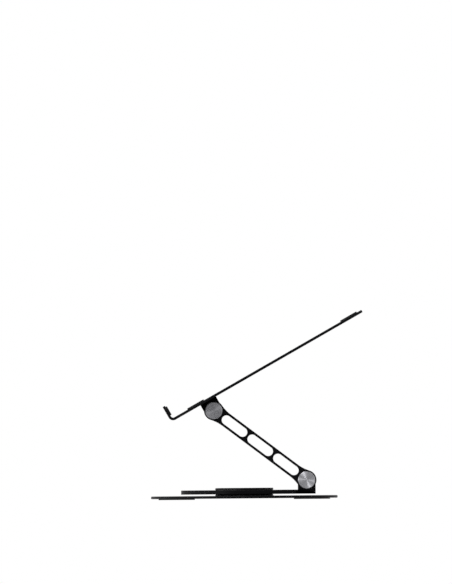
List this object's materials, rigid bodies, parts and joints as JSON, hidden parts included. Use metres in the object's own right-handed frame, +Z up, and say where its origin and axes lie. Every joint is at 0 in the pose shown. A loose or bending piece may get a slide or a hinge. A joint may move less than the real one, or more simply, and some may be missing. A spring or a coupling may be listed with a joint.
{
  "type": "laptop stand",
  "caption": "Folding laptop stand: a tray with two front lips tilts on a pair of slotted arms, on a frame that swivels on a round foot.",
  "frame": {"origin": "on the swivel axis, level with the surface that the foot rests on", "axes": "+Z up, -Y to the user and the lips, +Y to the rear, +X to the user's right; hinge axes along X"},
  "size_m": [0.25, 0.2197, 0.1943],
  "materials": {
    "black_steel": "satin black powder coat",
    "spun_aluminium": "spun, with concentric turning lines",
    "black_oxide": "black oxide steel",
    "spring_steel": "bare spring steel",
    "nylon": "matte black nylon",
    "rubber": "matte black silicone rubber"
  },
  "bodies": {
    "base": {"foot_plate": "black_steel", "hub_cap": "black_steel", "foot_pad_front_left": "rubber", "foot_pad_front_right": "rubber", "foot_pad_rear_left": "rubber", "foot_pad_rear_right": "rubber", "spindle": "black_oxide", "foot_screws": "black_oxide", "hub_cap_screws": "black_oxide", "lower_thrust_washer": "nylon", "upper_thrust_washer": "nylon"},
    "swivel_frame": {"frame_plate": "black_steel", "lower_bolt_left": "black_oxide", "lower_bolt_right": "black_oxide", "lower_nut_left": "black_oxide", "lower_nut_right": "black_oxide", "lower_cap_left": "spun_aluminium", "lower_cap_right": "spun_aluminium", "lower_washer_left": "nylon", "lower_washer_right": "nylon", "lower_spring_left": "spring_steel", "lower_spring_right": "spring_steel"},
    "arms": {"arm_left": "black_steel", "arm_right": "black_steel"},
    "upper_pivots": {"upper_bolt_left": "black_oxide", "upper_bolt_right": "black_oxide", "upper_nut_left": "black_oxide", "upper_nut_right": "black_oxide", "upper_cap_left": "spun_aluminium", "upper_cap_right": "spun_aluminium", "upper_washer_left": "nylon", "upper_washer_right": "nylon", "upper_spring_left": "spring_steel", "upper_spring_right": "spring_steel"},
    "tray": {"tray_plate": "black_steel", "bracket_left": "black_steel", "bracket_right": "black_steel", "bracket_screws": "black_oxide", "tray_pad_front_left": "rubber", "tray_pad_front_right": "rubber", "tray_pad_rear_left": "rubber", "tray_pad_rear_right": "rubber", "lip_pad_left": "rubber", "lip_pad_right": "rubber"}
  },
  "joints": [
    {"name": "base_swivel", "type": "hinge", "parent": "base", "child": "swivel_frame", "pos_m": [0, 0, 0.0097], "axis": [0, 0, 1], "continuous": true},
    {"name": "arm_lift", "type": "hinge", "parent": "swivel_frame", "child": "arms", "pos_m": [0, 0.06435, 0.01955], "axis": [-1, 0, 0], "range_deg": [-37.2, 47.8]},
    {"name": "tray_level", "type": "hinge", "parent": "arms", "child": "upper_pivots", "pos_m": [0, -0.03076, 0.09174], "axis": [-1, 0, 0], "range_deg": [-47.8, 37.2]},
    {"name": "tray_tilt", "type": "hinge", "parent": "upper_pivots", "child": "tray", "pos_m": [0, -0.03076, 0.09174], "axis": [1, 0, 0], "range_deg": [-29.4, 5.6]}
  ],
  "couplings": [
    {"joint": "tray_level", "follows": "arm_lift", "ratio": -1}
  ]
}
